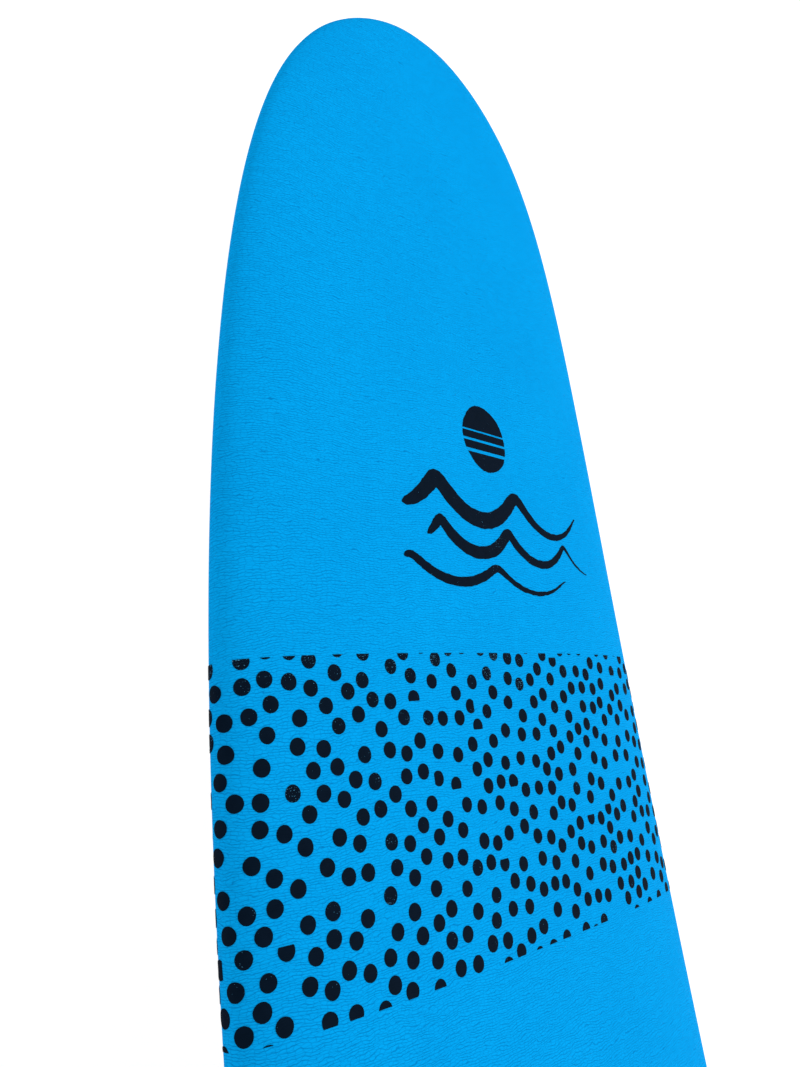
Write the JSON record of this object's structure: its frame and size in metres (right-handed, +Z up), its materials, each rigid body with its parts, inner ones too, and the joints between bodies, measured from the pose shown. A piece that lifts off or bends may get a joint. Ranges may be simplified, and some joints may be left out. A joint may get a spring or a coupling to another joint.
{
  "type": "longboard surfboard",
  "caption": "Long soft-top surfboard with a rounded nose, foam deck wrapped over the rails, slick bottom, removable raked fins and a leash plug near the squash tail.",
  "frame": {"origin": "mid-length on the centre line, at the level of the fin tips (bottom centre of the bounding box)", "axes": "+X towards the nose, +Y towards the left rail, +Z up through the deck"},
  "size_m": [2.742, 0.5846, 0.222],
  "materials": {
    "deck_foam": "finely creased closed-cell foam sheet with a printed pattern",
    "slick": "smooth semi-gloss sheet",
    "underlay_foam": "closed-cell foam",
    "core_foam": "bead foam",
    "stringer_wood": "bare plywood strip",
    "fitting_plastic": "fine satin moulding",
    "pin_steel": "drawn stainless bar",
    "fin_plastic": "satin moulding",
    "screw_steel": "turned stainless"
  },
  "bodies": {
    "board": {"deck_skin": "deck_foam", "bottom_slick": "slick", "bottom_underlay": "underlay_foam", "stringer_centre": "stringer_wood", "stringer_left": "stringer_wood", "stringer_right": "stringer_wood", "core_inner_left": "core_foam", "core_inner_right": "core_foam", "core_outer_left": "core_foam", "core_outer_right": "core_foam", "leash_cup": "fitting_plastic", "leash_pin": "pin_steel", "fin_sleeve_centre_front": "fitting_plastic", "fin_sleeve_centre_back": "fitting_plastic", "fin_sleeve_left_front": "fitting_plastic", "fin_sleeve_left_back": "fitting_plastic", "fin_sleeve_right_front": "fitting_plastic", "fin_sleeve_right_back": "fitting_plastic"},
    "fin_centre_body": {"fin_centre": "fin_plastic"},
    "fin_left_body": {"fin_left": "fin_plastic"},
    "fin_right_body": {"fin_right": "fin_plastic"},
    "screw_centre_front_body": {"fin_screw_centre_front": "screw_steel"},
    "screw_centre_back_body": {"fin_screw_centre_back": "screw_steel"},
    "screw_left_front_body": {"fin_screw_left_front": "screw_steel"},
    "screw_left_back_body": {"fin_screw_left_back": "screw_steel"},
    "screw_right_front_body": {"fin_screw_right_front": "screw_steel"},
    "screw_right_back_body": {"fin_screw_right_back": "screw_steel"}
  },
  "joints": [
    {"name": "fin_centre_release", "type": "slide", "parent": "board", "child": "fin_centre_body", "axis": [0, 0, -1], "range_m": [0, 0.032]},
    {"name": "fin_left_release", "type": "slide", "parent": "board", "child": "fin_left_body", "axis": [0, 0, -1], "range_m": [0, 0.032]},
    {"name": "fin_right_release", "type": "slide", "parent": "board", "child": "fin_right_body", "axis": [0, 0, -1], "range_m": [0, 0.032]},
    {"name": "screw_centre_front_withdraw", "type": "slide", "parent": "board", "child": "screw_centre_front_body", "axis": [0, 0, 1], "range_m": [0, 0.04]},
    {"name": "screw_centre_back_withdraw", "type": "slide", "parent": "board", "child": "screw_centre_back_body", "axis": [0, 0, 1], "range_m": [0, 0.04]},
    {"name": "screw_left_front_withdraw", "type": "slide", "parent": "board", "child": "screw_left_front_body", "axis": [0, 0, 1], "range_m": [0, 0.04]},
    {"name": "screw_left_back_withdraw", "type": "slide", "parent": "board", "child": "screw_left_back_body", "axis": [0, 0, 1], "range_m": [0, 0.04]},
    {"name": "screw_right_front_withdraw", "type": "slide", "parent": "board", "child": "screw_right_front_body", "axis": [0, 0, 1], "range_m": [0, 0.04]},
    {"name": "screw_right_back_withdraw", "type": "slide", "parent": "board", "child": "screw_right_back_body", "axis": [0, 0, 1], "range_m": [0, 0.04]}
  ]
}
